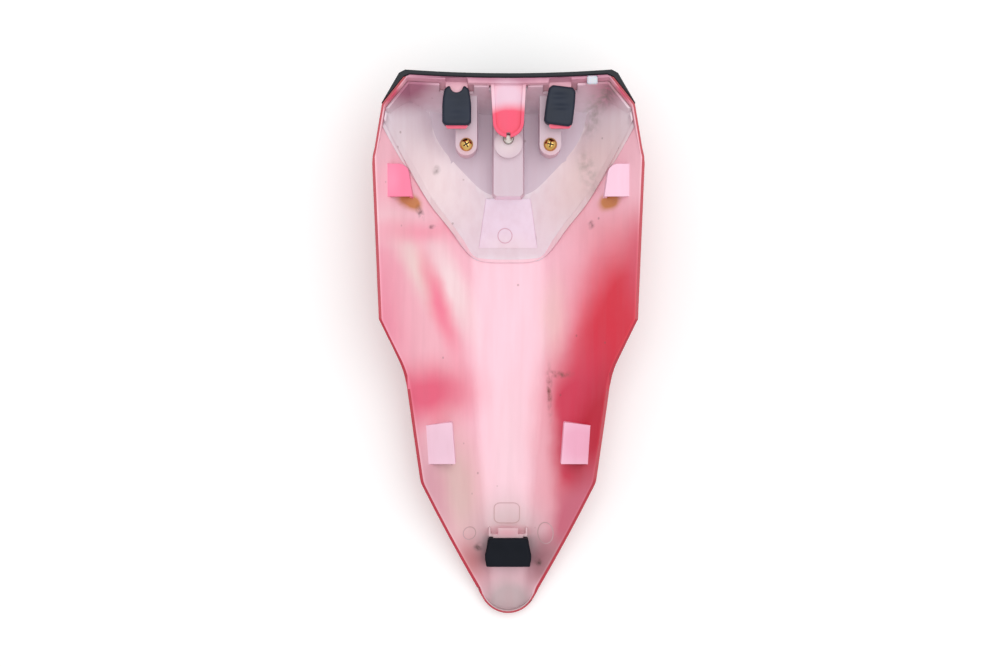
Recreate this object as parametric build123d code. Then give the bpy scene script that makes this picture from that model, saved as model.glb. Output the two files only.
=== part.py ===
from build123d import *
from math import cos, radians, sin, tan
import os

os.makedirs("parts", exist_ok=True)

# Millimetres. The cowl lies on its back with the open underside up.
# +Y is its front and +X is right as seen from above.

# Reach of every cutting shape, well past the part
REACH = 300

# Hull: a flat spine with a side rising on each hand, given as (y, half spine width, side angle)
WALL = 2.4
HULL_TOP = 130
SPINE_ROUND = 14
SIDE_BOW = 3
FRONT_STATION = (240, 32, 50)
WAIST_STATION = (-26, 28.5, 49)
TAIL_STATION = (-240, 9, 45)

# Front wall: plan corners at the rim, leaning back towards the crest
RAKE = 68
FRONT_TOP = 86
FRONT_CORNER = (79, 211)
FRONT_CHAMFER = (97.5, 188.5)
FRONT_CHEEK = (104.5, 148)
FRONT_FLARE = (125, 100)
FRONT_DIP = 2.8
CORNER_CUT = 3

# Tail: a wedge in plan with a round tip
TAIL_APEX = -238.1
TAIL_SPREAD = 0.563
TAIL_TIP = 23

# Rim seen from the side, from the front back to the tip, as (y, z)
RIM = ((250, FRONT_TOP + 2), (22, 78), (-20, 55.5), (-106, 48), (-196, 9.5), (-260, 8.5))
RIM_ROUNDS = (4, 60, 18, 30)

# Side hooks: inner front corner (x, y), inner back corner (x, y), slope of the front edge, top z, corner round
FRONT_HOOK = ((78.2, 143), (74.4, 117.5), 0, 73.5, 8)
REAR_HOOK = ((44.2, -58.7), (41.7, -92), 0.13, 44, 1.5)
HOOK_REACH = 60
HOOK_WALL = 2.4
HOOK_GAP = 0.8

# Front tongues that carry the boots
TONGUE_X = 40
TONGUE_WIDTH = 17
TONGUE_THICK = 4
TONGUE_TOP = FRONT_TOP - 6
TONGUE_END = 169.7
NOTCH_SKIN = 1

# Middle tongue with its raised border and its sunk, ramped middle
MIDDLE_ROOT = 28
MIDDLE_WIDTH = 24
MIDDLE_TOP = FRONT_TOP - 2
MIDDLE_THICK = 5
MIDDLE_END = 162.5
MIDDLE_BORDER = 2.6
POCKET_START = 187
POCKET_DEPTH = 3
POCKET_ROOT_DEPTH = 0.6
MIDDLE_SPLIT = 3

# Rear tongue on its cross wall
REAR_TONGUE_WIDTH = 24
REAR_TONGUE_TOP = 16
REAR_TONGUE_THICK = 4
REAR_NECK_WIDTH = 16
REAR_WALL = -150
REAR_NECK = 5
REAR_TONGUE = 23
GUSSET_X = 14.8
GUSSET_THICK = 1.4

# Inner panel: floor edge (x, y) and the points on the hull that its skirt runs out to (x, y, z)
FIT_GAP = 0.3
PANEL_THICK = 3
DRAFT = 4
PANEL_DEPTH = 46
FLOOR_TOP = FRONT_TOP - PANEL_DEPTH
FLOOR_EDGE = ((0, 120), (15, 121.5), (31.6, 134.5), (46, 150), (57, 166), (62, 185), (64, 206))
SKIRT_EDGE = (
    (0, 70.5, 4), (26, 73.5, 5), (43, 93, 16), (59, 113, 34), (74.5, 139, 52), (89, 166, 69), (105, 205, 92)
)
SKIRT_RUNOUT = 1.15
FLANGE_WIDTH = 4
FLANGE_THICK = 1.6
UPSTAND_THICK = 2
UPSTAND_LENGTH = 24
PANEL_TOP = FRONT_TOP - 4.5
LIP_HALF_WIDTH = 31
LIP_THICK = 1.6
LIP_HEIGHT = 3.5

# Lugs, box rib, eye and facet on the panel
LUG_X = 32.7
LUG_Y = 158.3
LUG_WIDTH = 17
LUG_TOP = FRONT_TOP - 18
LUG_WALL = 2.4
RIB_WIDTH = 22.8
RIB_TOP = FRONT_TOP - 26
RIB_END = 118.5
RIB_CHAMFER = 2
EYE_BACK = 3.5
EYE_R = 11
EYE_TOP = FRONT_TOP - 20
FACET_FRONT = (17.7, 118)
FACET_BACK = (23.5, 80)
FACET_RISE = 0.8

# Screws and the bosses they cut into
SCREW_R = 2.4
SCREW_HEAD_R = 5.3
SCREW_HEAD = 3.4
SCREW_LENGTH = 18
RECESS = (1.3, 6.4, 2)
BOSS_R = 5.5
HOLE_GAP = 0.35
THREAD_GAP = 0.05
WEB_THICK = 2
WEB_TOP = FLOOR_TOP - 6

# Lock pin in the middle of the panel
PIN_Y = 162.5
PIN_R = 3
PIN_HEAD_R = 4.2
PIN_HEAD = 3
PIN_LENGTH = 12

# Rubber boots: (width, length, thickness)
BOOT = (22.4, 30.5, 12)
LEFT_BOOT_NECK = 18.5
RIGHT_BOOT_NECK = 20.5
BOOT_CORNER = 2.5
BOOT_EDGE = 1.2
BOOT_TWIST = 7
BOOT_MOUTH = 5
BOOT_SETBACK = 2
BOOT_ROOM = 2
REAR_BOOT = (37, 23.2, 15.5)
REAR_BOOT_NECK = 32

# Bump pad on the front wall, thinning to nothing at the chamfer ends
PAD_CORNER = (FRONT_CORNER[0] + 3.5, FRONT_CORNER[1] + 3.4)
PAD_DIP = 3.1
PAD_GAP = 0.1
PAD_TOP = FRONT_TOP + 1
PAD_FOOT = 16
PAD_MARGIN = 4

# Nylon peg in the front rim: head (width, length, height) and square shank
PEG_X = 64.5
PEG_INSET = 4.9
PEG_SEAT = FRONT_TOP + 0.4
PEG_HEAD = (8.4, 6.8, 2.4)
PEG_SHANK = 3.2
PEG_LENGTH = 4


def block(x0, x1, y0, y1, z0, z1):
    """Box between two corners."""
    return Pos((x0 + x1) / 2, (y0 + y1) / 2, (z0 + z1) / 2) * Box(x1 - x0, y1 - y0, z1 - z0)


def rod(x, y, radius, z0, z1):
    """Upright cylinder between two heights."""
    return Pos(x, y, (z0 + z1) / 2) * Cylinder(radius, z1 - z0)


def both_sides(shape):
    """A right-hand feature together with its mirror image."""
    return shape + mirror(shape, Plane.YZ)


def top_edges(solid):
    """Edges round the highest face."""
    return solid.faces().sort_by(Axis.Z)[-1].edges()


def hull_section(station, inset):
    """Outline across the hull at one station, inset from its outer face."""
    y, half_spine, angle = station
    lean = radians(angle)
    foot = half_spine - inset * tan(lean / 2)
    head = half_spine - inset / sin(lean) + HULL_TOP / tan(lean)
    swell = ((foot + head) / 2 + SIDE_BOW * sin(lean), (inset + HULL_TOP) / 2 - SIDE_BOW * cos(lean))
    right = ThreePointArc((foot, inset), swell, (head, HULL_TOP))
    left = mirror(right, Plane.YZ)
    face = make_face([right, Line(right @ 1, left @ 1), left, Line(left @ 0, right @ 0)])
    return Plane.XZ.offset(-y) * fillet(face.vertices().group_by(Axis.Y)[0], SPINE_ROUND - inset)


def hull(inset):
    """The boat-shaped solid inside the given inset, in two halves that crease at the waist."""
    front, waist, tail = (hull_section(s, inset) for s in (FRONT_STATION, WAIST_STATION, TAIL_STATION))
    return loft([front, waist], ruled=True) + loft([waist, tail], ruled=True)


def front_plan(inset):
    """Plan outline at the front rim, inset square to the leaning wall; only the outer corners are cut."""
    flare_x = FRONT_FLARE[0]
    right = FilletPolyline(
        FRONT_CORNER, FRONT_CHAMFER, FRONT_CHEEK, FRONT_FLARE, (flare_x, -REACH), (0, -REACH),
        radius=[5, 60, 5, 5],
    )
    left = mirror(right, Plane.YZ)
    face = make_face([ThreePointArc(left @ 0, (0, FRONT_CORNER[1] - FRONT_DIP), right @ 0), right, left])
    if inset <= 0:
        face = chamfer(face.vertices().group_by(Axis.Y)[-1], CORNER_CUT)
    return offset(face, -inset / sin(radians(RAKE)), kind=Kind.INTERSECTION) if inset else face


def raked(plan):
    """Plan face at the rim swept up and down along the lean of the front wall."""
    lean = radians(RAKE)
    face = Pos(0, (HULL_TOP - FRONT_TOP) / tan(lean), HULL_TOP) * plan
    return extrude(face, amount=(HULL_TOP + 20) / sin(lean), dir=(0, -cos(lean), -sin(lean)))


def tail_prism(inset):
    """Everything ahead of the round tail tip."""
    far = (REACH - TAIL_APEX) * TAIL_SPREAD
    wedge = FilletPolyline((far, REACH), (0, TAIL_APEX), (-far, REACH), radius=TAIL_TIP)
    face = make_face([wedge, Line((-far, REACH), (far, REACH))])
    face = offset(face, -inset) if inset else face
    return extrude(Pos(0, 0, -20) * face, amount=HULL_TOP + 40)


def body(inset):
    """Solid filling the cowl up to the hull top, inset from its outer face."""
    return hull(inset) & raked(front_plan(inset)) & tail_prism(inset)


def below_rim():
    """Everything under the rim line, right across the cowl."""
    line = FilletPolyline(*RIM, radius=[*RIM_ROUNDS])
    foot = Polyline(line @ 1, (RIM[-1][0], -5), (RIM[0][0], -5), line @ 0)
    return extrude(Plane.YZ * make_face([line, foot]), amount=REACH, both=True)


def hook_block(hook, grow=0):
    """Outside of a side hook with its inner front corner rounded."""
    front, back, slope, top, corner_round = hook
    far = front[0] + HOOK_REACH
    points = (front, back, (far, back[1]), (far, front[1] - slope * HOOK_REACH))
    plan = make_face(Polyline(*points, close=True))
    plan = fillet(plan.vertices().sort_by_distance(Vector(*front))[0], corner_round)
    plan = offset(plan, grow) if grow else plan
    return extrude(Pos(0, 0, -1) * plan, amount=top + grow + 1)


def side_hook(hook, outer, cavity):
    """One hook: a pocket on the sloping side, closed in front and open to the rear."""
    solid = hook_block(hook)
    inside = Pos(HOOK_WALL, -HOOK_WALL, -HOOK_WALL) * solid
    return (solid & outer) - (inside & cavity)


def front_tongue():
    """Flat tongue from the front wall that a boot slides on to."""
    half = TONGUE_WIDTH / 2
    tongue = block(
        TONGUE_X - half, TONGUE_X + half, TONGUE_END, FRONT_CORNER[1], TONGUE_TOP - TONGUE_THICK, TONGUE_TOP
    )
    return chamfer(tongue.edges().filter_by(Axis.Z).group_by(Axis.Y)[0], 1.5)


def tongue_notch():
    """Gap in the front rim above a front tongue, leaving a thin skin outside."""
    half = TONGUE_WIDTH / 2
    gap = block(TONGUE_X - half, TONGUE_X + half, TONGUE_END, REACH, TONGUE_TOP, HULL_TOP)
    return gap & raked(front_plan(NOTCH_SKIN))


def middle_tongue():
    """Round-ended tongue with a sunk middle and a split tip."""
    half = MIDDLE_WIDTH / 2
    root = MIDDLE_ROOT / 2
    split = MIDDLE_SPLIT / 2
    end = ThreePointArc((-half, MIDDLE_END + half), (0, MIDDLE_END), (half, MIDDLE_END + half))
    rest = Polyline(end @ 1, (root, FRONT_CORNER[1]), (-root, FRONT_CORNER[1]), end @ 0)
    plan = make_face([end, rest])
    tongue = extrude(Pos(0, 0, MIDDLE_TOP - MIDDLE_THICK) * plan, amount=MIDDLE_THICK)
    tongue -= extrude(offset(plan, -MIDDLE_BORDER), amount=HULL_TOP) & middle_hollow()
    return tongue - block(-split, split, 0, MIDDLE_END + MIDDLE_BORDER + 1.4, 0, HULL_TOP)


def middle_hollow():
    """Side view of the sunk middle: a ramp down from the wall, then level to the tip."""
    floor = MIDDLE_TOP - POCKET_DEPTH
    wall = FRONT_CORNER[1]
    slope = Polyline((0, floor), (POCKET_START, floor), (wall, MIDDLE_TOP - POCKET_ROOT_DEPTH))
    rest = Polyline(slope @ 1, (wall, HULL_TOP), (0, HULL_TOP), slope @ 0)
    return extrude(Plane.YZ * make_face([slope, rest]), amount=MIDDLE_ROOT, both=True)


def rim_lip():
    """Thicker edge of the front wall between the two notches."""
    lip = raked(front_plan(WALL)) - raked(front_plan(WALL + LIP_THICK))
    span = block(-LIP_HALF_WIDTH, LIP_HALF_WIDTH, MIDDLE_END, REACH, FRONT_TOP - LIP_HEIGHT, HULL_TOP)
    return lip & span & below_rim()


def rear_bracket():
    """Rear tongue standing on a cross wall with two gussets."""
    under = REAR_TONGUE_TOP - REAR_TONGUE_THICK
    half = REAR_TONGUE_WIDTH / 2
    neck = REAR_NECK_WIDTH / 2
    edge = GUSSET_X + GUSSET_THICK / 2
    back = REAR_WALL - WALL
    root = REAR_WALL + REAR_NECK
    tongue = block(-half, half, REAR_WALL - REAR_TONGUE, REAR_WALL, under, REAR_TONGUE_TOP)
    tongue += block(-neck, neck, REAR_WALL, root, under, REAR_TONGUE_TOP)
    wall = block(-edge, edge, back, REAR_WALL, WALL / 2, under)
    gusset = block(GUSSET_X - GUSSET_THICK / 2, edge, back, root, WALL / 2, under)
    return tongue + wall + both_sides(gusset)


def screw_boss(outer):
    """Hidden post under a lug, tied to the front wall by a web."""
    half = WEB_THICK / 2
    post = rod(LUG_X, LUG_Y, BOSS_R, WALL / 2, LUG_TOP - PANEL_THICK)
    web = block(LUG_X - half, LUG_X + half, LUG_Y, FRONT_CORNER[1], WALL / 2, WEB_TOP)
    pilot = rod(LUG_X, LUG_Y, SCREW_R + THREAD_GAP, LUG_TOP - SCREW_LENGTH - 2, LUG_TOP)
    return ((post + web) & outer) - pilot


def peg_block(width, length, bottom, top):
    """Upright block centred on the peg."""
    y = FRONT_CORNER[1] - PEG_INSET
    return block(PEG_X - width / 2, PEG_X + width / 2, y - length / 2, y + length / 2, bottom, top)


def cowl_shell(outer, cavity):
    """The painted moulding: skin, hooks, tongues, bosses and rear bracket."""
    skin = ((outer - cavity) & below_rim()) + rim_lip() - both_sides(tongue_notch())
    hooks = side_hook(FRONT_HOOK, outer, cavity) + side_hook(REAR_HOOK, outer, cavity)
    features = both_sides(hooks + (front_tongue() & outer) + screw_boss(outer))
    socket = peg_block(PEG_HEAD[0], PEG_HEAD[1], PANEL_TOP + FIT_GAP, PEG_SEAT) & outer
    hole = PEG_SHANK + 2 * THREAD_GAP
    skin += features + (middle_tongue() & outer) + rear_bracket() + socket
    return skin - peg_block(hole, hole, PEG_SEAT - PEG_LENGTH - FIT_GAP, HULL_TOP)


def skirt_face():
    """Twisted surface from the floor edge of the panel out past the hull."""
    floor = [Vector(x, y, FLOOR_TOP) for x, y in FLOOR_EDGE]
    reach = [f + (Vector(*s) - f) * SKIRT_RUNOUT for f, s in zip(floor, SKIRT_EDGE)]
    inner, outer = (
        Spline([Vector(-p.X, p.Y, p.Z) for p in points[:0:-1]] + points) for points in (floor, reach)
    )
    return inner, Face.make_surface_from_curves(inner.edge(), outer.edge())


def panel_flange(fit):
    """Narrow border of the panel that lies on the shell."""
    points = [(x, y) for x, y, z in SKIRT_EDGE]
    line = Spline([(-x, y) for x, y in points[:0:-1]] + points)
    strip = extrude(trace(line, FLANGE_WIDTH), amount=PANEL_TOP)
    return strip & (fit - body(WALL + FIT_GAP + FLANGE_THICK))


def drawn_down(plan, bottom, top, draft=0):
    """Plan face at the top drawn down to the bottom, widening by the moulding draft."""
    return extrude(Pos(0, 0, top) * plan, amount=top - bottom, dir=(0, 0, -1), taper=-draft)


def lug_plan(shrink):
    """Round-ended strip running back from the front wall."""
    radius = LUG_WIDTH / 2 - shrink
    end = ThreePointArc((LUG_X - radius, LUG_Y), (LUG_X, LUG_Y - radius), (LUG_X + radius, LUG_Y))
    rest = Polyline(end @ 1, (LUG_X + radius, REACH), (LUG_X - radius, REACH), end @ 0)
    return make_face([end, rest])


def rib_plan(shrink):
    """Strip along the middle of the panel with its back corners cut."""
    back = RIB_END + shrink
    plan = Pos(0, (back + REACH) / 2) * Rectangle(RIB_WIDTH - 2 * shrink, REACH - back)
    return chamfer(plan.vertices().group_by(Axis.Y)[0], RIB_CHAMFER)


def facet(surface):
    """Flat facet standing just proud of the skirt."""
    (near, front), (far, back) = FACET_FRONT, FACET_BACK
    plan = make_face(Polyline((near, front), (far, back), (-far, back), (-near, front), close=True))
    return extrude(surface, FACET_RISE, dir=(0, 0, 1)) & extrude(plan, REACH)


def upstand(bottom):
    """Front edge of the panel, turned up along the front wall and cut away round the tongues."""
    gap = WALL + FIT_GAP
    boot_width, _, boot_thick = BOOT
    window = Pos(0, FRONT_CORNER[1] - UPSTAND_LENGTH + REACH / 2) * Rectangle(REACH, REACH)
    strip = (front_plan(gap) - front_plan(gap + UPSTAND_THICK)) & window
    boot_half = boot_width / 2 + BOOT_ROOM
    boot_under = TONGUE_TOP - (TONGUE_THICK + boot_thick) / 2 - 1
    middle_half = MIDDLE_ROOT / 2 + 1
    wall = raked(strip) & block(-REACH, REACH, 0, REACH, bottom, PANEL_TOP)
    wall -= both_sides(block(TONGUE_X - boot_half, TONGUE_X + boot_half, 0, REACH, boot_under, HULL_TOP))
    return wall - block(-middle_half, middle_half, 0, REACH, MIDDLE_TOP - MIDDLE_THICK - 1, HULL_TOP)


def inner_panel(fit):
    """The pale panel: floor, twisted skirt, front upstand, lugs and box rib."""
    under = FLOOR_TOP - PANEL_THICK
    edge, surface = skirt_face()
    panel = extrude(make_face([edge, Line(edge @ 1, edge @ 0)]), amount=-PANEL_THICK)
    panel += extrude(surface, amount=PANEL_THICK, dir=(0, 0, -1)) + upstand(under) + facet(surface)
    panel += both_sides(drawn_down(lug_plan(0), under, LUG_TOP))
    panel += drawn_down(rib_plan(0), under, RIB_TOP, DRAFT)
    panel += rod(0, PIN_Y - EYE_BACK, EYE_R, under, EYE_TOP)
    panel -= both_sides(drawn_down(lug_plan(LUG_WALL), 0, LUG_TOP - PANEL_THICK))
    panel -= drawn_down(rib_plan(LUG_WALL), 0, RIB_TOP - PANEL_THICK)
    panel -= both_sides(rod(LUG_X, LUG_Y, SCREW_R + HOLE_GAP, 0, HULL_TOP))
    panel -= rod(0, PIN_Y, PIN_R + THREAD_GAP, 0, HULL_TOP)
    panel = (panel & fit & block(-REACH, REACH, 0, REACH, 0, PANEL_TOP)) + panel_flange(fit)
    return panel - both_sides(hook_block(FRONT_HOOK, HOOK_GAP))


def bump_pad():
    """Black pad that covers the outside of the front wall."""
    right = Polyline(PAD_CORNER, FRONT_CHAMFER, (0, FRONT_CHAMFER[1]))
    left = mirror(right, Plane.YZ)
    front = ThreePointArc(left @ 0, (0, PAD_CORNER[1] - PAD_DIP), right @ 0)
    plan = chamfer(make_face([front, right, left]).vertices().group_by(Axis.Y)[-1], CORNER_CUT)
    strip = raked(plan - front_plan(-PAD_GAP))
    return strip & hull(PAD_MARGIN) & block(-REACH, REACH, 0, REACH, PAD_FOOT, PAD_TOP)


def front_boot(fit, neck, twist, mouth):
    """Rubber sleeve on a front tongue, narrower where the tongue enters it."""
    width, length, thick = BOOT
    half = width / 2
    tongue_half = TONGUE_WIDTH / 2 + FIT_GAP
    sides = Polyline((neck / 2, length / 2), (half, length * 0.1), (half, -length / 2), (-half, -length / 2),
                     (-half, length * 0.1), (-neck / 2, length / 2), close=True)
    plan = make_face(sides)
    solid = extrude(chamfer(plan.vertices(), BOOT_CORNER), amount=thick)
    solid = chamfer(top_edges(solid), BOOT_EDGE)
    if mouth:
        solid -= Pos(0, length / 2, thick) * Cylinder(BOOT_MOUTH, thick)
    base = TONGUE_TOP - (TONGUE_THICK + thick) / 2
    back = TONGUE_END + BOOT_SETBACK
    solid = Pos(TONGUE_X, back + length / 2, base) * Rot(0, 0, twist) * solid & fit
    under = TONGUE_TOP - TONGUE_THICK - FIT_GAP
    return solid - block(TONGUE_X - tongue_half, TONGUE_X + tongue_half, 0, REACH, under, TONGUE_TOP)


def rear_boot():
    """Rubber cushion capping the rear tongue."""
    width, length, thick = REAR_BOOT
    front = REAR_WALL - WALL - FIT_GAP
    back = front - length
    neck = REAR_BOOT_NECK / 2
    half = width / 2
    plan = make_face(
        Polyline((-neck, front), (-half, back + 8), (-half + 4, back), (half - 4, back), (half, back + 8),
                 (neck, front), close=True)
    )
    base = REAR_TONGUE_TOP - (REAR_TONGUE_THICK + thick) / 2
    solid = extrude(Pos(0, 0, base) * plan, amount=thick)
    solid = chamfer(top_edges(solid), BOOT_EDGE)
    slot = REAR_TONGUE_WIDTH / 2 + FIT_GAP
    under = REAR_TONGUE_TOP - REAR_TONGUE_THICK - FIT_GAP
    return solid - block(-slot, slot, REAR_WALL - REAR_TONGUE - FIT_GAP, 0, under, REAR_TONGUE_TOP)


def panel_screw():
    """Pan-head screw with a cross recess, standing on its lug."""
    head = rod(LUG_X, LUG_Y, SCREW_HEAD_R, LUG_TOP, LUG_TOP + SCREW_HEAD)
    head = chamfer(top_edges(head), SCREW_HEAD * 0.4)
    wide, long, deep = RECESS
    cross = Box(wide, long, deep) + Box(long, wide, deep)
    shank = rod(LUG_X, LUG_Y, SCREW_R, LUG_TOP - SCREW_LENGTH, LUG_TOP)
    return head + shank - Pos(LUG_X, LUG_Y, LUG_TOP + SCREW_HEAD - deep / 2) * cross


def lock_pin():
    """Headed steel pin pressed into the eye of the panel."""
    head = rod(0, PIN_Y, PIN_HEAD_R, EYE_TOP, EYE_TOP + PIN_HEAD)
    head = chamfer(top_edges(head), PIN_HEAD * 0.3)
    return head + rod(0, PIN_Y, PIN_R, EYE_TOP - PIN_LENGTH, EYE_TOP)


def pad_peg():
    """Nylon push peg with a square shank in the front rim."""
    width, length, height = PEG_HEAD
    head = peg_block(width, length, PEG_SEAT, PEG_SEAT + height)
    head = chamfer(head.edges().filter_by(Axis.Z) + top_edges(head), height * 0.4)
    return head + peg_block(PEG_SHANK, PEG_SHANK, PEG_SEAT - PEG_LENGTH, PEG_SEAT)


cavity_body = body(WALL)
fit_body = body(WALL + FIT_GAP)
right_screw = panel_screw()

nodes = {
    "cowl_shell": cowl_shell(body(0), cavity_body),
    "inner_panel": inner_panel(fit_body),
    "bump_pad": bump_pad(),
    "right_boot": front_boot(fit_body, RIGHT_BOOT_NECK, -BOOT_TWIST, False),
    "left_boot": mirror(front_boot(fit_body, LEFT_BOOT_NECK, 0, True), Plane.YZ),
    "rear_boot": rear_boot(),
    "panel_screws": Compound([right_screw, mirror(right_screw, Plane.YZ)]),
    "lock_pin": lock_pin(),
    "pad_peg": pad_peg(),
}
for name, shape in nodes.items():
    export_step(shape, f"parts/{name}.step")
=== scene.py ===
# %% [markdown]
# # A motorbike seat cowl, seen from inside
#
# A seat cowl is the painted plastic hump that takes the place of a pillion seat. This one lies on
# its back, so the camera looks down into it: a boat-shaped shell, bare and pink inside with red
# overspray, a pale panel in the hump, black rubber boots, two gold screws and a black pad along
# the front.
#
# The CAD model already holds every piece at its real size. This lesson gives each piece its
# finish, rounds the edges that the CAD model leaves sharp and adds the low relief that is too fine
# for CAD.

# %% Load the CAD frame
import math

import bmesh
import bpy
from mathutils import Matrix, Vector
from mathutils.bvhtree import BVHTree


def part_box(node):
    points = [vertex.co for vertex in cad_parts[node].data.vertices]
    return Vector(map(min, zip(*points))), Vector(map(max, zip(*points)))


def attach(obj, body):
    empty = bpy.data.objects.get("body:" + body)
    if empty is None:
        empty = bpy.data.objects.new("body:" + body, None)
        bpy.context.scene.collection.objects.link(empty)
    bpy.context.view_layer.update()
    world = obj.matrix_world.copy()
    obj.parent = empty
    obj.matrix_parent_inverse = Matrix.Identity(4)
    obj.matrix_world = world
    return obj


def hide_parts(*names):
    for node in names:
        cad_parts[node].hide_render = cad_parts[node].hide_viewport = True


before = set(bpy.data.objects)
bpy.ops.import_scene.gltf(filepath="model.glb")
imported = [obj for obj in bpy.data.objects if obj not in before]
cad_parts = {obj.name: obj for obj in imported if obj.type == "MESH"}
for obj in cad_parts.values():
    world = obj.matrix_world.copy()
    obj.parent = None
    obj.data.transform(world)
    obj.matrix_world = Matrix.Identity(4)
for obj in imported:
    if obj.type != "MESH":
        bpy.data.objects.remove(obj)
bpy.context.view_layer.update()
MM = 0.001
print("CAD nodes:", ", ".join(sorted(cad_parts)))

# %% [markdown]
# ## Colours and nodes
#
# Colours are easiest to read as the hex codes that a paint program shows. Those codes are sRGB, and
# a shader works in linear light, so one function converts them. A second function adds a shader
# node and fills its sockets, with a value or with a link, which keeps each material down to a few
# lines.

# %% Colour and node helpers
def linear(code):
    """Linear colour of an sRGB hex code."""
    parts = [int(code[i:i + 2], 16) / 255 for i in (0, 2, 4)]
    return [p / 12.92 if p < 0.04045 else ((p + 0.055) / 1.055) ** 2.4 for p in parts] + [1]


def add(tree, kind, inputs, **settings):
    """New shader node with its settings made and its sockets linked or set."""
    node = tree.nodes.new("ShaderNode" + kind)
    for name, value in settings.items():
        setattr(node, name, value)
    for key, value in inputs.items():
        if isinstance(value, bpy.types.NodeSocket):
            tree.links.new(value, node.inputs[key])
        else:
            node.inputs[key].default_value = value
    return node


def finish(name, base, roughness, sockets):
    """Material whose shader holds plain values."""
    material = bpy.data.materials.new(name)
    material.use_nodes = True
    shader = material.node_tree.nodes["Principled BSDF"]
    for key, value in {"Base Color": linear(base), "Roughness": roughness, **sockets}.items():
        shader.inputs[key].default_value = value
    return material


def grain(material, size, depth):
    """Fine texture in the surface, as a bump with the given grain size and depth in mm."""
    tree = material.node_tree
    place = add(tree, "TexCoord", {}).outputs["Object"]
    noise = add(tree, "TexNoise", {"Vector": place, "Scale": 1 / (size * MM), "Detail": 2})
    bump = add(tree, "Bump", {"Height": noise.outputs[0], "Strength": 0.5, "Distance": depth * MM})
    tree.links.new(bump.outputs["Normal"], tree.nodes["Principled BSDF"].inputs["Normal"])


def cloud(material, second, size):
    """Soft clouds of a second colour, with their size in mm, so that no surface is one flat tone."""
    tree = material.node_tree
    shader = tree.nodes["Principled BSDF"]
    place = add(tree, "TexCoord", {}).outputs["Object"]
    noise = add(tree, "TexNoise", {"Vector": place, "Scale": 1 / (size * MM), "Detail": 4})
    first = list(shader.inputs["Base Color"].default_value)
    mix = add(tree, "Mix", {0: noise.outputs[0], 6: first, 7: linear(second)}, data_type="RGBA")
    tree.links.new(mix.outputs[2], shader.inputs["Base Color"])


print("Pure red in linear light:", linear("FF0000"))

# %% [markdown]
# ## Bare plastic with overspray
# A few ellipses are painted shade: along the front wall and in the mouths of the hook pockets.
#
# The inside of the shell is unpainted ABS. When the outside was sprayed, red mist drifted in and
# settled in soft bands, and hands and dust left smudges. Such a surface could be painted by hand as
# an image. Here each band is a soft ellipse instead: a Mapping node moves, turns and scales the
# object's own coordinates, and a spherical gradient falls from one at the centre to zero at the
# edge. The coordinates are first pushed about by a slow noise, so that the ellipses get the ragged
# edge of real mist. Dirt is made the same way, and a finer noise breaks it up into grit.
#
# Over all of it lie the faint flow lines of the moulding, drawn out along the part, and a few
# specks about a millimetre across. The real texture of the mould is about 0.1 mm; its bump is drawn
# at 1.1 mm, because it would not show otherwise.

# %% Moulded plastic
# Sizes in millimetres
DRIFT = 9
DRIFT_SIZE = 33
GRIT_SIZE = 5
FLOW_SIZE = (7, 60, 7)
SPECK_SPACING = 22
GRAIN_SIZE, GRAIN_DEPTH = 1.1, 0.05
FLOW_TINT, SPECK_TINT = "B8727E", "7A5650"


def moulded(name, base, patches, dirt=()):
    """Bare ABS with soft patches, each (what, centre, half size, turn, colour, strength) in mm."""
    material = finish(name, base, 0.42, {"IOR": 1.53})
    tree = material.node_tree
    place = add(tree, "TexCoord", {}).outputs["Object"]
    noise = add(tree, "TexNoise", {"Vector": place, "Scale": 1 / (DRIFT_SIZE * MM), "Detail": 3})
    push = add(tree, "VectorMath", {0: noise.outputs[1], 1: (0.5, 0.5, 0.5)}, operation="SUBTRACT")
    moved = add(tree, "VectorMath", {0: push.outputs[0], 1: (DRIFT * MM,) * 3, 2: place},
                operation="MULTIPLY_ADD")
    fine = add(tree, "TexNoise", {"Vector": place, "Scale": 1 / (GRIT_SIZE * MM), "Detail": 4})
    grit = add(tree, "MapRange", {"Value": fine.outputs[0], "From Min": 0.35, "From Max": 0.75})
    layers = []
    for what, (x, y), (wide, long), turn, tint, strength in [*patches, *dirt]:
        spot = add(tree, "Mapping", {
            "Vector": moved.outputs[0],
            "Location": (x * MM, y * MM, 0),
            "Rotation": (0, 0, math.radians(turn)),
            "Scale": (wide * MM, long * MM, 1),
        }, vector_type="TEXTURE")
        ball = add(tree, "TexGradient", {"Vector": spot.outputs[0]}, gradient_type="SPHERICAL")
        soft = add(tree, "MapRange", {"Value": ball.outputs[1], "To Max": strength},
                   interpolation_type="SMOOTHSTEP")
        if what.startswith("dirt"):
            soft = add(tree, "Math", {0: soft.outputs[0], 1: grit.outputs[0]}, operation="MULTIPLY")
        layers.append((soft, tint))
    flow = add(tree, "Mapping", {"Vector": place, "Scale": [1 / (size * MM) for size in FLOW_SIZE]})
    lines = add(tree, "TexNoise", {"Vector": flow.outputs[0], "Scale": 1, "Detail": 5})
    faint = add(tree, "MapRange", {
        "Value": lines.outputs[0], "From Min": 0.4, "From Max": 0.75, "To Max": 0.11,
    })
    cells = add(tree, "TexVoronoi", {"Vector": place, "Scale": 1 / (SPECK_SPACING * MM)})
    speck = add(tree, "MapRange", {
        "Value": cells.outputs[0], "From Min": 0.06, "From Max": 0.03, "To Max": 0.4,
    })
    colour = linear(base)
    for share, tint in [*layers, (faint, FLOW_TINT), (speck, SPECK_TINT)]:
        colour = add(tree, "Mix", {0: share.outputs[0], 6: colour, 7: linear(tint)},
                     data_type="RGBA").outputs[2]
    tree.links.new(colour, tree.nodes["Principled BSDF"].inputs["Base Color"])
    grain(material, GRAIN_SIZE, GRAIN_DEPTH)
    return material
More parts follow.
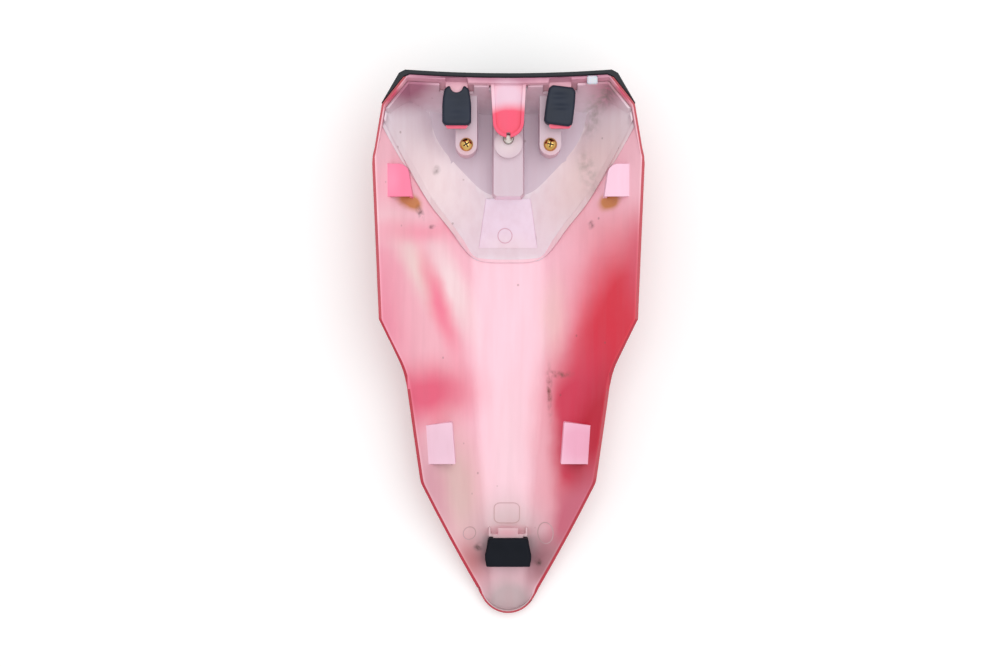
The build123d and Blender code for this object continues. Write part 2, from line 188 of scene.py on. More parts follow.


# Bare ABS with paint mist on it: pale pink, satin, with soft red bands and some painted shade.
shell_inside = moulded("abs_with_overspray_and_shade", "FBC3D0", [
    ("pink left edge", (-104, 10), (40, 150), 0, "F393AC", 1.0),
    ("pale left shoulder", (-92, 98), (40, 26), 0, "FBCFD8", 0.9),
    ("pale spine", (0, 0), (60, 240), 0, "FCD3E1", 1.1),
    ("pale right shoulder", (76, 92), (40, 28), 0, "F3B3BE", 0.9),
    ("cream streak beside the edge", (-68, 58), (17, 58), 26, "F6E0DC", 1.1),
    ("cream streak beside the spine", (-44, 48), (18, 64), 21, "FCEAEC", 1.1),
    ("red streak", (-55, 34), (13, 66), 18, "FA8CA6", 1.0),
    ("pink band under the panel", (-71, 92), (54, 14), 2, "FB9BB2", 0.7),
    ("cream right of the spine", (37, 22), (16, 56), 0, "F8DCD8", 0.8),
    ("red of the right side", (78, 16), (52, 120), -6, "F27C90", 1.1),
    ("deep red core", (90, 16), (50, 104), -8, "DC3044", 1.5),
    ("deep red low", (80, -6), (40, 74), -16, "DA2A40", 1.2),
    ("red at the upper rim", (103, 66), (20, 60), 0, "DC5A70", 0.9),
    ("red of the lower right", (54, -66), (46, 100), -6, "D43C58", 1.5),
    ("red lower edge", (72, -80), (30, 92), -9, "BE1030", 1.8),
    ("red tail edge", (50, -134), (22, 74), -28, "D06A80", 1.2),
    ("red band on the left", (-66, -36), (62, 38), 0, "EC6C88", 1.1),
    ("red of the left waist", (-86, -40), (20, 60), 20, "DE5A78", 0.9),
    ("pink of the lower right", (28, -84), (18, 90), 0, "F9BECA", 1.0),
    ("cream lower left", (-40, -112), (30, 76), 10, "E4C6C2", 1.1),
    ("rose lower left edge", (-60, -112), (16, 70), 14, "D9A0AE", 0.8),
    ("pale dome on the spine", (0, -84), (32, 96), 0, "F8D4DF", 1.0),
    ("grey rear of the spine", (0, -148), (44, 44), 0, "DDC4C8", 1.3),
    ("brown left of the rear boot", (-30, -172), (20, 34), 28, "CE8488", 0.9),
    ("rose right of the rear boot", (30, -172), (20, 34), -28, "B8808A", 1.2),
    ("grey tail tip", (0, -212), (36, 40), 0, "C3ABAF", 1.5),
    ("rose round the rear tongue", (0, -149), (24, 8), 0, "DFA0AC", 0.9),
    ("shadow of the front wall", (0, 216), (170, 20), 0, "B9748F", 1.8),
    ("red of the left front corner", (-91, 199), (9, 22), -31, "CE3A5E", 1.8),
    ("red of the right front corner", (90, 199), (9, 22), 31, "D6486A", 1.8),
    ("pale channel of the middle tongue", (0, 190), (20, 22), 0, "ECC6D8", 2.0),
    ("red of the middle tongue", (0, 170), (34, 22), 4, "F2486C", 3.0),
    ("red of the left tongue", (-40, 171), (20, 10), 0, "FF5F7F", 1.5),
    ("red of the right tongue", (40, 171), (20, 10), 0, "FF5F7F", 1.5),
    # Painted shade: orange-brown where the pockets under the front hooks open to the rear.
    ("painted shade in the left pocket mouth", (-78, 115), (12, 9), -30, "D08A52", 1.8),
    ("painted shade in the right pocket mouth", (79, 115), (12, 9), 30, "D08A52", 1.8),
], [
    ("dirt line beside the waist", (34, -36), (4, 28), 0, "8A5C55", 1.3),
    ("dirt line above the waist", (42, -21), (14, 4), 0, "8A5C55", 1.3),
    ("dirt under the left hook", (-71, 108), (4, 8), 30, "4A3432", 1.4),
    ("dirt on the left side", (-60, 97), (4, 3), 0, "5A3F3D", 1.3),
    ("dirt on the right side", (65, 97), (4, 5), 0, "5A3F3D", 1.4),
    ("dirt left of the rear boot", (-24, -161), (6, 5), 0, "4F463F", 1.4),
    ("dirt right of the rear boot", (25, -173), (6, 5), 0, "4F463F", 1.4),
])
print("Shell plastic has", len(shell_inside.node_tree.nodes), "nodes")

# %% [markdown]
# ## The other plastics
#
# The panel is the same natural ABS without the paint, so it looks lilac-white, with cream areas
# where it is thin over the shell, a pink cast near the red front wall and grey-green smudges on the
# right. Its floor is painted in shade, its rear facet in painted light, and its border takes a
# pink cast from the shell that it lies on. These differences end at a crease in the moulding, so
# each gets a material of its own on its own faces rather than one more soft patch.

# %% Panel and hook plastics
smudges = [
    ("dirt beside the peg", (77, 200), (10, 18), 10, "6A6E62", 1.0),
    ("dirt below the peg", (67, 184), (12, 28), -20, "A29C92", 0.8),
    ("dirt on the right skirt", (63, 139), (10, 30), 15, "A39A92", 0.8),
    ("dirt on the left skirt", (-57, 141), (5, 5), 0, "5F5250", 1.0),
]
# Natural ABS: a milky lilac white with a soft satin sheen, creamier where it is thin.
panel_skirt = moulded("abs_natural", "EADDE6", [
    ("cream left skirt", (-62, 134), (46, 68), 30, "F5E4E6", 1.0),
    ("beige right skirt", (64, 138), (46, 74), -30, "E6CCCC", 1.1),
    ("pink cast of the front wall", (0, 214), (190, 34), 0, "DFA3B8", 1.0),
    ("shaded left corner", (-76, 206), (40, 26), 30, "A8647E", 1.3),
    ("shaded right corner", (80, 204), (30, 26), -30, "C07C92", 1.1),
], smudges)
panel_floor = moulded("abs_natural_shaded", "D0BFCC", [
    ("lighter front", (0, 190), (90, 50), 0, "DCCBD8", 0.8),
], smudges)
# Painted light: the rear facet is the same ABS, lighter because it faces the light.
panel_facet = moulded("abs_natural_painted_light", "F3E3F4", [
    ("cream end", (0, 82), (34, 14), 0, "F3E4EA", 0.6),
])
panel_border = moulded("abs_natural_pink", "ECD8DB", [
    ("pink rear edge", (0, 76), (66, 42), 0, "F3BFCE", 1.3),
    ("paler middle", (0, 74), (40, 20), 0, "F6D6E0", 0.7),
])
panel_boss = moulded("abs_natural_thick", "D6C0CC", [
    ("pale eye", (0, 158), (18, 14), 0, "EAD8DE", 1.2),
    ("rosy left lug", (-35, 150), (16, 12), 0, "DDB4C0", 0.8),
    ("rosy right lug", (35, 150), (16, 12), 0, "DDB4C0", 0.8),
])
panel_plastics = [panel_skirt, panel_floor, panel_facet, panel_border, panel_boss]

# The hooks are the same moulding: one glows hot pink where light comes through the paint, the
# others stay pale.
hook_bright = moulded("abs_hook_bright", "F8789E", [
    ("lighter edge", (-92, 130), (12, 26), 0, "FF92B2", 0.7),
])
hook_pale = moulded("abs_hook_pale", "F6C9DE", [
    ("pink lower right hook", (56, -76), (36, 36), 0, "EDA6C2", 1.2),
    ("grey lower left hook", (-56, -76), (36, 36), 0, "E9BFD2", 1.2),
])
# Raised marks get painted shade, and the rear ones dirt too, so they read as thin darker lines.
mark_tint = moulded("abs_scuffed_mark", "DDB6C8", [
    ("grimy rear marks", (0, -145), (70, 40), 0, "C9A8A8", 1.5),
])
print("Panel plastics:", ", ".join(material.name for material in panel_plastics))

# %% [markdown]
# ## Paint, rubber and metal
#
# The outside of the shell is sprayed red under clear lacquer: a strong colour with a second, smooth
# reflection on top, which is what the coat sockets of the Principled shader are for. Rubber is
# nearly black and takes its grey from a broad, dim reflection. Metal has no colour below its
# surface, so metallic is one and the base colour is the colour of the mirror: gold for zinc with a
# yellow chromate film, grey for plain steel.

# %% Paint, rubber and metal
# Red two-coat paint, sprayed: deep colour, a sharp gloss and the slow ripple of orange peel, about
# 4 mm across.
paint = finish("red_paint_lacquered", "BE1234", 0.4, {
    "IOR": 1.5, "Coat Weight": 0.5, "Coat Roughness": 0.05,
})
cloud(paint, "A60E2C", 70)
grain(paint, 4, 0.02)

# Moulded rubber: blue-black, with a broad dim sheen. Its real grain is about 0.1 mm; it is drawn at
# 0.7 mm to show.
rubber = finish("rubber_moulded", "0C1422", 0.42, {"IOR": 1.52, "Specular IOR Level": 0.28})
cloud(rubber, "182338", 17)
grain(rubber, 0.7, 0.06)

# The rear boot is darker rubber, almost without sheen, with the same grain.
rubber_dull = finish("rubber_moulded_dull", "090C13", 0.6, {
    "IOR": 1.52, "Specular IOR Level": 0.12,
})
cloud(rubber_dull, "10151F", 17)
grain(rubber_dull, 0.7, 0.06)

# Skinned foam rubber: blacker and duller than the front boots, with pores drawn at 1 mm instead of
# 0.2 mm.
pad_skin = finish("rubber_skinned_pad", "0B0F15", 0.55, {"IOR": 1.52, "Specular IOR Level": 0.36})
cloud(pad_skin, "131922", 25)
grain(pad_skin, 1, 0.1)

# Zinc plate under a yellow chromate film: a warm mirror with brown clouds a few millimetres
# across, partly the film's uneven tint and partly painted dark reflections.
zinc = finish("zinc_yellow_chromate", "E4C27C", 0.1, {"Metallic": 1})
cloud(zinc, "B0803A", 4.5)
grain(zinc, 0.7, 0.01)

# Painted shade in the screw recess: almost black, which draws the cross.
recess_shade = finish("painted_shade_in_recess", "1C130C", 0.5, {"IOR": 1.47})
cloud(recess_shade, "3A2814", 2.5)
grain(recess_shade, 0.5, 0.02)

# Turned steel: a grey mirror with fine turning marks, drawn as a faint grain of 0.6 mm.
steel = finish("steel_bright", "B4AEAA", 0.2, {"Metallic": 1})
cloud(steel, "7E7672", 3.3)
grain(steel, 0.6, 0.01)

# Natural nylon, moulded: milky, because light enters it and comes out again about a millimetre
# away.
nylon = finish("nylon_natural", "DCDDE6", 0.34, {
    "IOR": 1.53, "Subsurface Weight": 0.3, "Subsurface Scale": MM,
})
cloud(nylon, "CFD0DA", 5)
grain(nylon, 0.8, 0.02)
print("Materials:", len(bpy.data.materials))

# %% [markdown]
# ## From CAD solid to visible piece
#
# A CAD mesh arrives as loose triangles. Merging the doubles joins them, and a limited dissolve
# turns each flat area back into one face, so that edges are real edges again. Then every sharp edge
# gets a small bevel: no moulded edge is perfectly sharp, and the bevel catches the thin highlight
# that makes a part look solid. Slivers between two curved faces are passed over, because their
# angles say nothing about the shape. Weighted normals keep the large faces flat in shading although
# they are smoothed. Where edges meet at a shallow angle a bevel can throw a point far out, so such
# points go back to the surface that they came from.

# %% Copy, soften and place
# Lengths in millimetres, angles in degrees, the area of a sliver in square millimetres
WELD = 0.001
FLAT_ANGLE = 0.05
FOLD_ANGLE = 125
SMOOTH_ANGLE = 40
SLIVER = 0.05


def merged_copy(node):
    """Welded copy of a CAD node, with one face for each flat area."""
    bm = bmesh.new()
    bm.from_mesh(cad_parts[node].data)
    bmesh.ops.remove_doubles(bm, verts=bm.verts[:], dist=WELD * MM)
    bmesh.ops.dissolve_limit(bm, angle_limit=math.radians(FLAT_ANGLE), verts=bm.verts[:],
                             edges=bm.edges[:])
    bmesh.ops.recalc_face_normals(bm, faces=bm.faces[:])
    return bm


def soften(bm, width, segments=2, angle=30, where=lambda edge: True):
    """Rounds the edges that turn by more than the angle, and returns the new faces."""
    surface = BVHTree.FromBMesh(bm)
    sharp = [
        edge for edge in bm.edges
        if edge.is_manifold and where(edge)
        and math.radians(angle) < edge.calc_face_angle() < math.radians(FOLD_ANGLE)
        and min(face.calc_area() for face in edge.link_faces) > SLIVER * MM ** 2
    ]
    made = bmesh.ops.bevel(
        bm, geom=sharp, offset=width * MM, offset_type="OFFSET", segments=segments, profile=0.5,
        affect="EDGES", clamp_overlap=False, material=-1, miter_outer="ARC",
    )
    for vert in bm.verts:
        near, _, _, gap = surface.find_nearest(vert.co)
        if gap > width * MM / 2:
            vert.co = near
    return made["faces"]


def middle_of(edge):
    """Midpoint of an edge in mm."""
    return (edge.verts[0].co + edge.verts[1].co) / 2 / MM


def add_piece(bm, name, materials, node=None):
    """Object from a bmesh that rides on the frame, in place of its CAD node if it has one."""
    bmesh.ops.recalc_face_normals(bm, faces=bm.faces[:])
    mesh = bpy.data.meshes.new(name)
    bm.to_mesh(mesh)
    bm.free()
    if "custom_normal" in mesh.attributes:
        mesh.attributes.remove(mesh.attributes["custom_normal"])
    for material in materials:
        mesh.materials.append(material)
    mesh.shade_smooth()
    mesh.set_sharp_from_angle(angle=math.radians(SMOOTH_ANGLE))
    piece = bpy.data.objects.new(name, mesh)
    bpy.context.scene.collection.objects.link(piece)
    piece.modifiers.new("Flat faces", "WEIGHTED_NORMAL").keep_sharp = True
    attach(piece, "root")
    print(name, "has", len(mesh.polygons), "faces")
    if node:
        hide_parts(node)
        low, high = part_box(node)
        past = max(
            max(a - v, v - b) for vert in mesh.vertices for a, v, b in zip(low, vert.co, high)
        )
        print(f"  {past / MM:.2f} mm past its CAD box")
    return piece


# %% [markdown]
# ## The shell
#
# One moulding carries two finishes: lacquer outside and over the rim, bare plastic inside. Which
# face is which follows from the shape. Starting at the spine, the search walks from face to face as
# long as a ray along the normal escapes into the open; the faces that border this outside are the
# rim. The side hooks caught less mist than the wall behind them, so their flat faces get their own
# plastics. The crest and the corners of the hull get a wide rounding, the rim a finer one that
# shows bare plastic, and all other edges the least.

# %% Shell
BARE, PAINTED, BRIGHT_HOOK, PALE_HOOK = range(4)
FRONT_HALF = 79
FRONT_WALL_START = 195
FRONT_HOOK = ((72, 115, 40), (107, 145, 75))
REAR_HOOK = ((40, -94, 16), (82, -56, 45))
CREST_ROUND, RIM_ROUND, EDGE_ROUND = 2.5, 0.9, 0.35
RIM_ANGLE = 40
RAY_START = 0.1
# Limits for the upward part of a normal
FACES_UP, UPRIGHT, LEVEL = 0.05, 0.1, 0.9


def outside_faces(bm, tree):
    """Outward faces, found by spreading from the lowest one."""
    outside = set()
    waiting = [min(bm.faces, key=lambda face: face.calc_center_median().z)]
    while waiting:
        face = waiting.pop()
        start = face.calc_center_median() + face.normal * RAY_START * MM
        if face in outside or face.normal.z > FACES_UP or tree.ray_cast(start, face.normal)[0]:
            continue
        outside.add(face)
        waiting += [other for edge in face.edges for other in edge.link_faces]
    return outside


def on_front_wall(face):
    """True along the straight top of the front wall, which the mist hardly reached."""
    x, y, _ = face.calc_center_median() / MM
    return y > FRONT_WALL_START and abs(x) < FRONT_HALF


def on_hook(face, box):
    """True for a level or upright face inside a hook's box on either side."""
    x, y, z = face.calc_center_median() / MM
    low, high = box
    inside = all(a <= value <= b for a, value, b in zip(low, (abs(x), y, z), high))
    return inside and not UPRIGHT < abs(face.normal.z) < LEVEL


def painted(edge):
    """How many of an edge's two faces carry paint."""
    return sum(face.material_index == PAINTED for face in edge.link_faces)


shell = merged_copy("cowl_shell")
for x in (-FRONT_HALF, FRONT_HALF):
    level = [face for face in shell.faces if face.normal.z > LEVEL]
    level += {part for face in level for part in (*face.edges, *face.verts)}
    bmesh.ops.bisect_plane(shell, geom=level, dist=WELD * MM, plane_co=(x * MM, 0, 0),
                           plane_no=(1, 0, 0))
shell_tree = BVHTree.FromBMesh(shell)
outside = outside_faces(shell, shell_tree)
rim = {other for face in outside for vert in face.verts for other in vert.link_faces} - outside
for face in outside | {face for face in rim if not on_front_wall(face)}:
    face.material_index = PAINTED
for face in shell.faces:
    if face.material_index == BARE and on_hook(face, FRONT_HOOK):
        face.material_index = BRIGHT_HOOK if face.calc_center_median().x < 0 else PALE_HOOK
    elif face.material_index == BARE and on_hook(face, REAR_HOOK):
        face.material_index = PALE_HOOK
soften(shell, CREST_ROUND, 5, where=lambda edge: all(face in outside for face in edge.link_faces))
for face in soften(shell, RIM_ROUND, 4, RIM_ANGLE, lambda edge: painted(edge) == 1):
    face.material_index = BARE
soften(shell, EDGE_ROUND)
shell_piece = add_piece(shell, "shell_moulding",
                        [shell_inside, paint, hook_bright, hook_pale], "cowl_shell")

# %% [markdown]
# ## The inner panel
#
# The panel's faces are sorted by where they lie: the level floor by its height, the border by its
# nearness to the shell, the facet by its outline in plan. Everything else is skirt, lugs and rib.
# The edges round the eye stay sharp, because its facets are too small for a bevel.

# %% Panel
SKIRT, FLOOR, FACET, BORDER, BOSS = range(5)
FLOOR_HEIGHT, FLOOR_PLAY, FLOOR_LEVEL = 40, 0.02, 0.999
BORDER_REACH, BORDER_END, BORDER_LEVEL = 2.1, 118, 0.98
FACET_SPAN = (80, 118)
FACET_HALF = (23.5, 17.7)
BOSS_RISE = 3
RIB_HALF = 13.5
LUG_REACH = 45
LUG_SPAN = (140, 185)
LUG_INNER = 14
EYE_START = 146
LUG_ROUND, RIB_ROUND = 0.5, 0.15
PANEL_ANGLE = 60


def panel_area(face):
    """Material number of one panel face."""
    x, y, z = face.calc_center_median() / MM
    if face.normal.z > FLOOR_LEVEL and abs(z - FLOOR_HEIGHT) < FLOOR_PLAY:
        return FLOOR
    along = (y - FACET_SPAN[0]) / (FACET_SPAN[1] - FACET_SPAN[0])
    if 0 < along < 1 and abs(x) < FACET_HALF[0] + along * (FACET_HALF[1] - FACET_HALF[0]):
        return FACET
    on_rib = abs(x) < RIB_HALF and y > FACET_SPAN[1]
    on_lug = abs(x) < LUG_REACH and LUG_SPAN[0] < y < LUG_SPAN[1]
    if z > FLOOR_HEIGHT + BOSS_RISE and (on_rib or on_lug):
        return BOSS
    near = all(shell_tree.find_nearest(vert.co)[3] < BORDER_REACH * MM for vert in face.verts)
    ground = shell_tree.find_nearest(face.calc_center_median())[1]
    level = ground.dot(face.normal) > BORDER_LEVEL
    return BORDER if near and level and y < BORDER_END else SKIRT


def beside_rib(edge):
    """True for an edge of the skirt, the lugs or the front edge."""
    return abs(middle_of(edge).x) > LUG_INNER


def behind_eye(edge):
    """True for an edge of the rib or the facet, short of the eye."""
    return abs(middle_of(edge).x) < LUG_INNER and middle_of(edge).y < EYE_START


panel = merged_copy("inner_panel")
for face in panel.faces:
    face.material_index = panel_area(face)
soften(panel, LUG_ROUND, angle=PANEL_ANGLE, where=beside_rib)
soften(panel, RIB_ROUND, angle=PANEL_ANGLE, where=behind_eye)
panel_piece = add_piece(panel, "panel_moulding", panel_plastics, "inner_panel")

# %% [markdown]
# ## Rubber boots
#
# The boots are moulded rubber sleeves, round on every edge. Bevels with a wide radius would collide
# on such small pieces, so the CAD outline is remeshed into small even squares instead, and a few
# rounds of smoothing wear its edges down as a soft mould does. The even mesh then lets the top sink
# into the shallow dimples that the light picks out.

# %% Boots
VOXEL = 0.6
ROUNDS = 10
TOP_DEPTH = 2
SPREAD_POWER = 4


def temporary(bm, name):
    """Short-lived object that a modifier can work on."""
    piece = bpy.data.objects.new(name, bpy.data.meshes.new(name))
    bpy.context.scene.collection.objects.link(piece)
    bm.to_mesh(piece.data)
    bm.free()
    return piece


def modified(piece):
    """Bmesh of a short-lived object with its modifiers applied."""
    bm = bmesh.new()
    bm.from_mesh(piece.evaluated_get(bpy.context.evaluated_depsgraph_get()).data)
    bpy.data.objects.remove(piece)
    return bm


def rubber_boot(node, name, material, dips, spread=0):
    """Worn boot, its rear corners spread, with dimples, each (centre, half size, depth) in mm."""
    rough = temporary(merged_copy(node), "rough")
    rough.modifiers.new("Even squares", "REMESH").voxel_size = VOXEL * MM
    bm = modified(rough)
    for _ in range(ROUNDS):
        bmesh.ops.smooth_vert(bm, verts=bm.verts[:], factor=0.5, use_axis_x=True, use_axis_y=True,
                              use_axis_z=True)
    low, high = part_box(node)
    for vert in bm.verts:
        rearward = (high.y - vert.co.y) / (high.y - low.y)
        share = rearward ** SPREAD_POWER * (vert.co.z - low.z) / (high.z - low.z)
        vert.co.x = max(low.x, min(high.x, vert.co.x * (1 + spread * share)))
    for vert in (vert for vert in bm.verts if vert.co.z > high.z - TOP_DEPTH * MM):
        for (x, y), (wide, long), depth in dips:
            off = ((vert.co.x / MM - x) / wide) ** 2 + ((vert.co.y / MM - y) / long) ** 2
            vert.co.z -= depth * MM * math.exp(-off)
    return add_piece(bm, name, [material], node)


rubber_boot("left_boot", "left_sleeve", rubber, [
    ((-40.4, 191), (9, 4), 0.7), ((-40.4, 180), (7, 3), 0.7),
])
rubber_boot("right_boot", "right_sleeve", rubber, [
    ((39, 194.5), (7, 2.2), 0.9), ((40, 186), (7, 2.2), 0.9),
])
rubber_boot("rear_boot", "rear_sleeve", rubber_dull, [
    ((-8, -163), (5, 5), 0.6), ((8, -163), (5, 5), 0.6),
], 0.25)

# %% [markdown]
# ## Screws
#
# A pan-head screw is turned, so its profile is a handful of points that spin makes into a solid.
# The cross recess is pressed in: two tapered bars cut it out of the dome with a Boolean modifier.
# The second screw is a copy of the first, turned a little, because no two screws stop at the same
# angle.

# %% Screws
HEAD_TOP = 71.4
SCREW_PROFILE = [
    (0, HEAD_TOP), (2.4, 71.2), (3.9, 70.4), (4.9, 69.3), (5.3, 68), (2.4, 68), (2.4, 50), (0, 50),
]
SCREW_STEPS = 48
SCREW_AT = Vector((32.7, 158.3, 0)) * MM
LEFT_TURN, RIGHT_TURN = 30, -12
RECESS_LENGTH, RECESS_WIDTH, RECESS_DEPTH = 6.4, 1.3, 2
RECESS_TAPER = (0.6, 0.7, 1)
RECESS_PLAY = 0.1
WALL_LIMIT = 0.7
WALL_DEPTH = 1

turned = bmesh.new()
profile = [turned.verts.new((radius * MM, 0, z * MM)) for radius, z in SCREW_PROFILE]
for ends in zip(profile, profile[1:]):
    turned.edges.new(ends)
bmesh.ops.spin(turned, geom=turned.verts[:] + turned.edges[:], axis=(0, 0, 1), cent=(0, 0, 0),
               angle=math.tau, steps=SCREW_STEPS, use_merge=True)
bmesh.ops.remove_doubles(turned, verts=turned.verts[:], dist=WELD * MM)
bmesh.ops.recalc_face_normals(turned, faces=turned.faces[:])
blank = temporary(turned, "blank")
cutters = []
for turn in (0, 90):
    bar = bmesh.new()
    bmesh.ops.create_cube(bar, size=MM)
    bmesh.ops.scale(bar, verts=bar.verts[:], vec=(RECESS_LENGTH, RECESS_WIDTH, 2 * RECESS_DEPTH))
    bmesh.ops.scale(bar, verts=[vert for vert in bar.verts if vert.co.z < 0], vec=RECESS_TAPER)
    bmesh.ops.rotate(bar, verts=bar.verts[:], matrix=Matrix.Rotation(math.radians(turn), 3, "Z"))
    bmesh.ops.translate(bar, verts=bar.verts[:], vec=(0, 0, HEAD_TOP * MM))
    cutters.append(temporary(bar, "bar"))
    blank.modifiers.new("Recess", "BOOLEAN").object = cutters[-1]
screws = modified(blank)
for cutter in cutters:
    bpy.data.objects.remove(cutter)

# The walls and deep floor of the recess take the painted shade.
for face in screws.faces:
    middle = face.calc_center_median() / MM
    below = HEAD_TOP - middle.z
    in_recess = middle.xy.length < RECESS_LENGTH / 2 and below < RECESS_DEPTH + RECESS_PLAY
    face.material_index = int(in_recess and (face.normal.z < WALL_LIMIT or below > WALL_DEPTH))
first = screws.verts[:]
copied = bmesh.ops.duplicate(screws, geom=screws.verts[:] + screws.edges[:] + screws.faces[:])
second = [part for part in copied["geom"] if isinstance(part, bmesh.types.BMVert)]
for verts, side, turn in ((first, -1, LEFT_TURN), (second, 1, RIGHT_TURN)):
    spun = Matrix.Rotation(math.radians(turn), 4, "Z")
    place = Matrix.Translation((side * SCREW_AT.x, SCREW_AT.y, 0)) @ spun
    bmesh.ops.transform(screws, verts=verts, matrix=place)
add_piece(screws, "screw_heads", [zinc, recess_shade], "panel_screws")

# %% [markdown]
# ## Pad, pin and peg
#
# The small pieces need only their finish and a rounding in keeping with how they are made: soft
# edges on the moulded pad, finer along its visible top, and fine ones on the turned pin and the
# nylon peg. The pad runs out to thin tips at both ends, which stay as they are.

# %% Small pieces
PAD_ROUND_TO = 86
PAD_TOP_BAND = 80
PAD_TOP_ROUND, PAD_ROUND = 0.7, 1.5
PIN_ROUND, PEG_ROUND = 0.4, 0.7
SMALL_ANGLE = 25


def on_pad_top(edge):
    """True along the top of the pad, short of its thin tips."""
    return abs(middle_of(edge).x) < PAD_ROUND_TO and middle_of(edge).z > PAD_TOP_BAND


pad = merged_copy("bump_pad")
soften(pad, PAD_TOP_ROUND, 3, where=on_pad_top)
soften(pad, PAD_ROUND, 4, where=lambda edge: middle_of(edge).z < PAD_TOP_BAND)
add_piece(pad, "front_pad", [pad_skin], "bump_pad")

pin = merged_copy("lock_pin")
soften(pin, PIN_ROUND, 3, SMALL_ANGLE)
add_piece(pin, "steel_pin", [steel], "lock_pin")

peg = merged_copy("pad_peg")
soften(peg, PEG_ROUND, 3, SMALL_ANGLE)
add_piece(peg, "nylon_peg", [nylon], "pad_peg")

# %% [markdown]
# ## Marks left by the mould
#
# Ejector pins and inserts leave low rings in a moulding. Each starts as a flat disc: an inset gives
# the width of the ring, the middle is deleted and the rest is raised. A ray from above finds the
# height and the slope of the surface, and a shear lays the ring on it, so that it keeps its outline
# in plan. Four corners instead of forty, bevelled at the points, make a rounded square.

# %% Mould marks
MARK_WIDTH = 0.7
MARK_HEIGHT = 0.3
ROUND, SQUARE = 40, 4
SQUARE_ROUND = 0.35
RAY_HEIGHT = 200


def mould_mark(name, ground, material, centre, half, corners=ROUND):
    """Low ring on the surface under a point, given in mm."""
    above = Vector((centre[0] * MM, centre[1] * MM, RAY_HEIGHT * MM))
    tree = BVHTree.FromObject(ground, bpy.context.evaluated_depsgraph_get())
    hit, normal, _, _ = tree.ray_cast(above, Vector((0, 0, -1)))
    bm = bmesh.new()
    bmesh.ops.create_circle(bm, cap_ends=True, segments=corners, radius=MM)
    if corners == SQUARE:
        bmesh.ops.rotate(bm, verts=bm.verts[:], matrix=Matrix.Rotation(math.radians(45), 3, "Z"))
        bmesh.ops.bevel(bm, geom=bm.verts[:], offset=SQUARE_ROUND * MM, segments=4, profile=0.5,
                        affect="VERTICES", material=-1)
    bmesh.ops.scale(bm, verts=bm.verts[:], vec=(half[0], half[1], 1))
    disc = bm.faces[:]
    bmesh.ops.inset_region(bm, faces=disc, thickness=MARK_WIDTH * MM, use_boundary=True,
                           use_even_offset=True)
    bmesh.ops.delete(bm, geom=disc, context="FACES_ONLY")
    raised = bmesh.ops.extrude_face_region(bm, geom=bm.faces[:])["geom"]
    bmesh.ops.translate(bm, verts=[part for part in raised if isinstance(part, bmesh.types.BMVert)],
                        vec=(0, 0, 2 * MARK_HEIGHT * MM))
    lean = Matrix.Identity(4)
    lean[2][0], lean[2][1] = -normal.x / normal.z, -normal.y / normal.z
    seat = Matrix.Translation(hit - Vector((0, 0, MARK_HEIGHT * MM)))
    bmesh.ops.transform(bm, verts=bm.verts[:], matrix=seat @ lean)
    return add_piece(bm, name, [material])


mould_mark("facet_ring", panel_piece, mark_tint, (-2.5, 89.5), (6, 6))
for name, material, centre, half, corners in (
    ("left_ejector_ring", mark_tint, (-31, -149), (5.3, 5.3), ROUND),
    ("right_ejector_ring", mark_tint, (30, -149), (6.4, 8.8), ROUND),
    ("side_insert_mark", shell_inside, (73, 82), (19, 17), SQUARE),
    ("spine_insert_mark", mark_tint, (-1, -134), (15, 12), SQUARE),
):
    mould_mark(name, shell_piece, material, centre, half, corners)

# %% [markdown]
# ## Floor, light and camera
#
# A pale floor and a white sky light the hollow evenly, as a light tent does. One broad lamp above
# adds the gentle direction that shapes the sides. The camera looks straight down from 1.7 m, which
# is far enough to keep the perspective of the photograph.

# %% Floor, light and camera
# Places and sizes in metres, where no millimetres are named
WHITE = (1, 1, 1, 1)
FLOOR_GLOW = 0.12
FLOOR_HALF = 4
FLOOR_DROP = 0.2 * MM
SKY_LOW, SKY_HIGH, SKY_TURN = 0.6, 0.78, 0.6
LAMP_AT = (0.3, 0.4, 2.2)
LAMP_SIZE = 2
LAMP_WATTS = 18
CAMERA_AT = (-6.5 * MM, 11.2 * MM, 1.7)


def brightest(tree, level):
    """One where the camera looks straight on, by reflection or through glass, or else the level."""
    path = add(tree, "LightPath", {}).outputs
    for ray in ("Is Camera Ray", "Is Glossy Ray", "Is Transmission Ray"):
        level = add(tree, "Math", {0: level, 1: path[ray]}, operation="MAXIMUM").outputs[0]
    return level


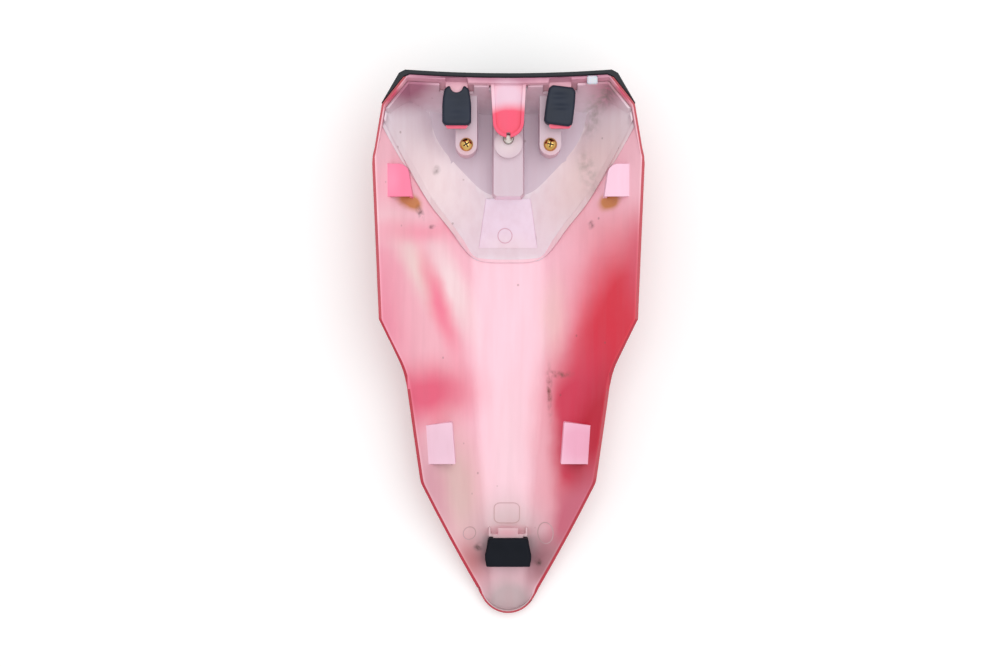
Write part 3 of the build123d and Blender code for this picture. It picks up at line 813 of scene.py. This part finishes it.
floor_bm = bmesh.new()
bmesh.ops.create_grid(floor_bm, x_segments=1, y_segments=1, size=FLOOR_HALF)
bmesh.ops.translate(floor_bm, verts=floor_bm.verts[:], vec=(0, 0, -FLOOR_DROP))
floor_mesh = bpy.data.meshes.new("studio_floor")
floor_bm.to_mesh(floor_mesh)
floor_bm.free()

# White paper: dull, with clouds too faint to see as spots, and a little light of its own.
floor_paper = finish("paper_white", "FAFAFA", 0.9, {"Specular IOR Level": 0.1})
cloud(floor_paper, "FCFCFC", 300)
paper_tree = floor_paper.node_tree
paper_shader = paper_tree.nodes["Principled BSDF"]
glow = add(paper_tree, "Math", {0: brightest(paper_tree, 0), 1: FLOOR_GLOW}, operation="MULTIPLY")
paper_tree.links.new(glow.outputs[0], paper_shader.inputs["Emission Strength"])
paper_shader.inputs["Emission Color"].default_value = WHITE
floor_mesh.materials.append(floor_paper)
floor = bpy.data.objects.new("studio_floor", floor_mesh)
bpy.context.scene.collection.objects.link(floor)

world = bpy.data.worlds.new("light_tent")
world.use_nodes = True
sky = world.node_tree
height = add(sky, "SeparateXYZ", {0: add(sky, "TexCoord", {}).outputs["Generated"]}).outputs["Z"]
level = add(sky, "MapRange", {
    "Value": height, "From Max": SKY_TURN, "To Min": SKY_LOW, "To Max": SKY_HIGH,
})
sky.links.new(brightest(sky, level.outputs[0]), sky.nodes["Background"].inputs["Strength"])
sky.nodes["Background"].inputs["Color"].default_value = WHITE
bpy.context.scene.world = world

lamp_data = bpy.data.lights.new("overhead_lamp", "AREA")
lamp_data.shape = "SQUARE"
lamp_data.size = LAMP_SIZE
lamp_data.energy = LAMP_WATTS
lamp = bpy.data.objects.new("overhead_lamp", lamp_data)
lamp.location = LAMP_AT
lamp.rotation_euler = (-lamp.location).to_track_quat("-Z", "Y").to_euler()
bpy.context.scene.collection.objects.link(lamp)

camera_data = bpy.data.cameras.new("camera")
camera_data.sensor_width = 36
camera_data.lens = 75.5
camera = bpy.data.objects.new("camera", camera_data)
camera.location = CAMERA_AT
bpy.context.scene.collection.objects.link(camera)
bpy.context.scene.camera = camera
bpy.context.scene.view_settings.view_transform = "Standard"
print("Camera height:", camera.location.z, "m")
